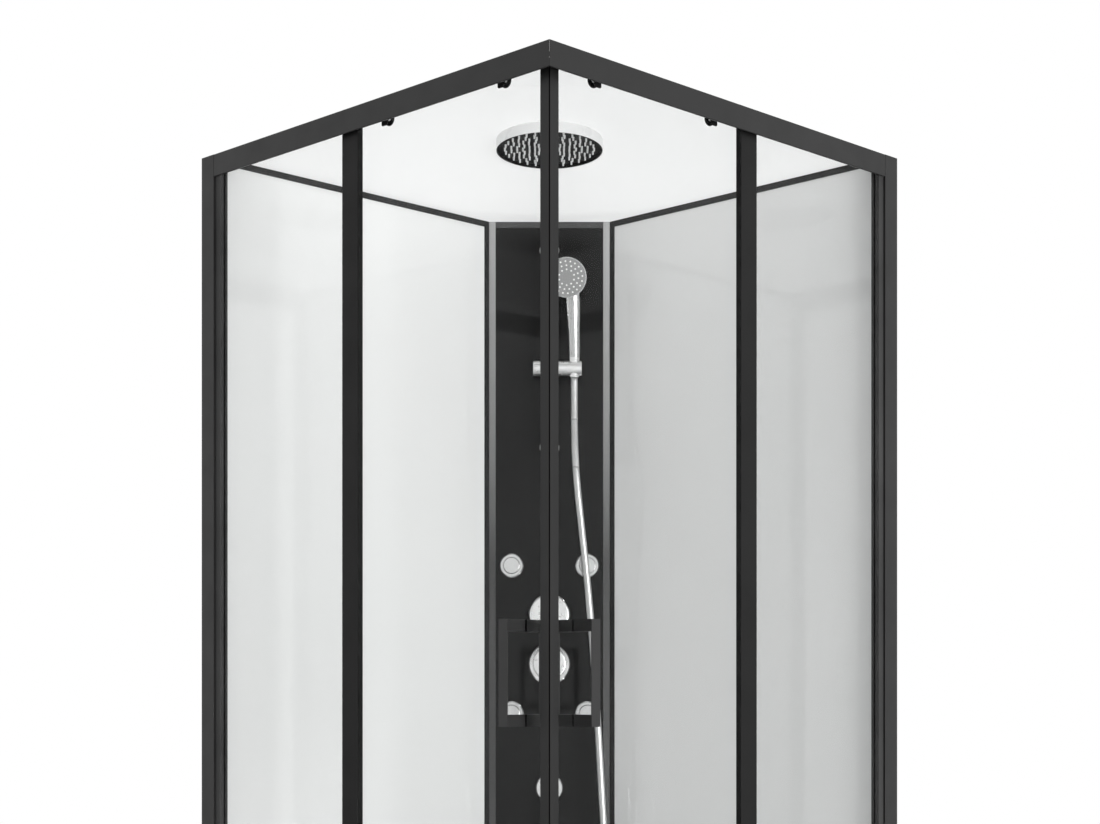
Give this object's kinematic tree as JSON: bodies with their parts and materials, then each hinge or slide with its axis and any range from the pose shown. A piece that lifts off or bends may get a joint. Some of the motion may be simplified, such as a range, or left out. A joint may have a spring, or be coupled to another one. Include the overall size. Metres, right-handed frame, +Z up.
{
  "type": "corner shower cabin",
  "caption": "Square corner shower cabin with framed glass front, two doors sliding apart from the corner, white back walls, black shower tower, rain head, hand shower and tray.",
  "frame": {"origin": "middle of the square plan on the floor, under the middle foot", "axes": "+Z up; the front corner where the doors meet points to +X and -Y, the tower stands in the corner at -X and +Y"},
  "size_m": [0.9102, 0.9102, 2.2999],
  "materials": {
    "black_frame": "satin powder coat",
    "clear_glass": "clear polished",
    "white_panel": "back-painted, glossy",
    "black_glass": "back-painted, glossy",
    "aluminium": "satin anodised",
    "dark_aluminium": "satin anodised",
    "white_acrylic": "glossy",
    "white_plastic": "satin",
    "black_plastic": "fine satin",
    "grey_plastic": "satin",
    "white_soft": "matt",
    "black_rubber": "matt",
    "chrome": "polished",
    "chrome_plastic": "polished chrome plating",
    "hose_silver": "smooth silver",
    "zinc_steel": "zinc plated",
    "brass": "machined"
  },
  "bodies": {
    "cabin": {"shower_tray": "white_acrylic", "front_aprons": "white_acrylic", "tray_frame": "zinc_steel", "foot_rods": "zinc_steel", "foot_pads": "black_plastic", "drain_body": "zinc_steel", "corner_posts": "black_frame", "top_rails": "black_frame", "bottom_rails": "black_frame", "rail_fittings": "black_plastic", "fixed_pane_frames": "black_frame", "fixed_glass": "clear_glass", "wall_panels": "white_panel", "wall_frames": "black_frame", "tower_panel": "black_glass", "tower_profiles": "aluminium", "tower_cross_rails": "dark_aluminium", "roof_panel": "white_acrylic", "rain_head_shell": "white_plastic", "rain_head_face": "black_plastic", "rain_head_nozzles": "white_soft", "riser_tube": "chrome", "riser_brackets": "chrome_plastic", "shower_hose": "hose_silver", "outlet_elbow": "chrome", "valve_escutcheons": "chrome", "mixer_valve": "brass", "diverter_valve": "brass", "jet_rings": "chrome_plastic", "tower_plumbing": "white_plastic"},
    "left_door": {"left_door_glass": "clear_glass", "left_door_stile": "black_frame", "left_door_seals": "black_rubber", "left_door_handle": "black_frame", "left_door_hangers": "black_plastic", "left_roller_pins": "zinc_steel"},
    "right_door": {"right_door_glass": "clear_glass", "right_door_stile": "black_frame", "right_door_seals": "black_rubber", "right_door_handle": "black_frame", "right_door_hangers": "black_plastic", "right_roller_pins": "zinc_steel"},
    "left_front_roller": {"left_front_wheel": "white_plastic"},
    "left_rear_roller": {"left_rear_wheel": "white_plastic"},
    "right_front_roller": {"right_front_wheel": "white_plastic"},
    "right_rear_roller": {"right_rear_wheel": "white_plastic"},
    "slider": {"slider_body": "chrome_plastic"},
    "clamp_knob": {"slider_knob": "chrome_plastic"},
    "holder": {"handset_holder": "chrome_plastic"},
    "handset": {"handset_body": "chrome_plastic", "handset_face": "grey_plastic", "handset_nozzles": "white_soft", "hose_cone_nut": "chrome"},
    "mixer_control": {"mixer_knob": "chrome_plastic"},
    "diverter_control": {"diverter_knob": "chrome_plastic"},
    "jet_a": {"upper_left_jet": "chrome_plastic"},
    "jet_b": {"upper_right_jet": "chrome_plastic"},
    "jet_c": {"lower_left_jet": "chrome_plastic"},
    "jet_d": {"lower_right_jet": "chrome_plastic"},
    "waste_cover": {"drain_cover": "chrome"}
  },
  "joints": [
    {"name": "left_door_slide", "type": "slide", "parent": "cabin", "child": "left_door", "axis": [-1, 0, 0], "range_m": [0, 0.358]},
    {"name": "right_door_slide", "type": "slide", "parent": "cabin", "child": "right_door", "axis": [0, 1, 0], "range_m": [0, 0.358]},
    {"name": "left_front_roller_spin", "type": "hinge", "parent": "left_door", "child": "left_front_roller", "pos_m": [0.3215, -0.4355, 2.1378], "axis": [0, -1, 0], "range_deg": [0, 2570]},
    {"name": "left_rear_roller_spin", "type": "hinge", "parent": "left_door", "child": "left_rear_roller", "pos_m": [0.0425, -0.4355, 2.1378], "axis": [0, -1, 0], "range_deg": [0, 2570]},
    {"name": "right_front_roller_spin", "type": "hinge", "parent": "right_door", "child": "right_front_roller", "pos_m": [0.4355, -0.3215, 2.1378], "axis": [-1, 0, 0], "range_deg": [0, 2570]},
    {"name": "right_rear_roller_spin", "type": "hinge", "parent": "right_door", "child": "right_rear_roller", "pos_m": [0.4355, -0.0425, 2.1378], "axis": [-1, 0, 0], "range_deg": [0, 2570]},
    {"name": "slider_slide", "type": "slide", "parent": "cabin", "child": "slider", "axis": [0, 0, 1], "range_m": [-0.1, 0.03], "deforming": ["shower_hose"]},
    {"name": "clamp_knob_turn", "type": "hinge", "parent": "slider", "child": "clamp_knob", "pos_m": [-0.31509, 0.27691, 1.837], "axis": [0.7071, 0.7071, 0], "range_deg": [0, 120]},
    {"name": "holder_tilt", "type": "hinge", "parent": "slider", "child": "holder", "pos_m": [-0.26771, 0.32428, 1.837], "axis": [0.7071, 0.7071, 0], "range_deg": [0, 25], "deforming": ["shower_hose"]},
    {"name": "handset_lift", "type": "slide", "parent": "holder", "child": "handset", "axis": [0, 0, 1], "range_m": [0, 0.045], "deforming": ["shower_hose"]},
    {"name": "mixer_turn", "type": "hinge", "parent": "cabin", "child": "mixer_control", "pos_m": [-0.31862, 0.31862, 1.2314], "axis": [0.7071, -0.7071, 0], "range_deg": [-45, 45]},
    {"name": "diverter_turn", "type": "hinge", "parent": "cabin", "child": "diverter_control", "pos_m": [-0.32216, 0.32216, 1.334], "axis": [0.7071, -0.7071, 0], "range_deg": [-60, 60]},
    {"name": "jet_a_swivel", "type": "hinge", "parent": "cabin", "child": "jet_a", "pos_m": [-0.38644, 0.27556, 1.4356], "axis": [0.7071, 0.7071, 0], "range_deg": [-10, 10]},
    {"name": "jet_b_swivel", "type": "hinge", "parent": "cabin", "child": "jet_b", "pos_m": [-0.27556, 0.38644, 1.4356], "axis": [0.7071, 0.7071, 0], "range_deg": [-10, 10]},
    {"name": "jet_c_swivel", "type": "hinge", "parent": "cabin", "child": "jet_c", "pos_m": [-0.38644, 0.27556, 1.129], "axis": [0.7071, 0.7071, 0], "range_deg": [-10, 10]},
    {"name": "jet_d_swivel", "type": "hinge", "parent": "cabin", "child": "jet_d", "pos_m": [-0.27556, 0.38644, 1.129], "axis": [0.7071, 0.7071, 0], "range_deg": [-10, 10]},
    {"name": "waste_cover_lift", "type": "slide", "parent": "cabin", "child": "waste_cover", "axis": [0, 0, 1], "range_m": [0, 0.03]}
  ],
  "couplings": [
    {"joint": "left_front_roller_spin", "follows": "left_door_slide", "rad_per_m": 125},
    {"joint": "left_rear_roller_spin", "follows": "left_door_slide", "rad_per_m": 125},
    {"joint": "right_front_roller_spin", "follows": "right_door_slide", "rad_per_m": 125},
    {"joint": "right_rear_roller_spin", "follows": "right_door_slide", "rad_per_m": 125}
  ]
}
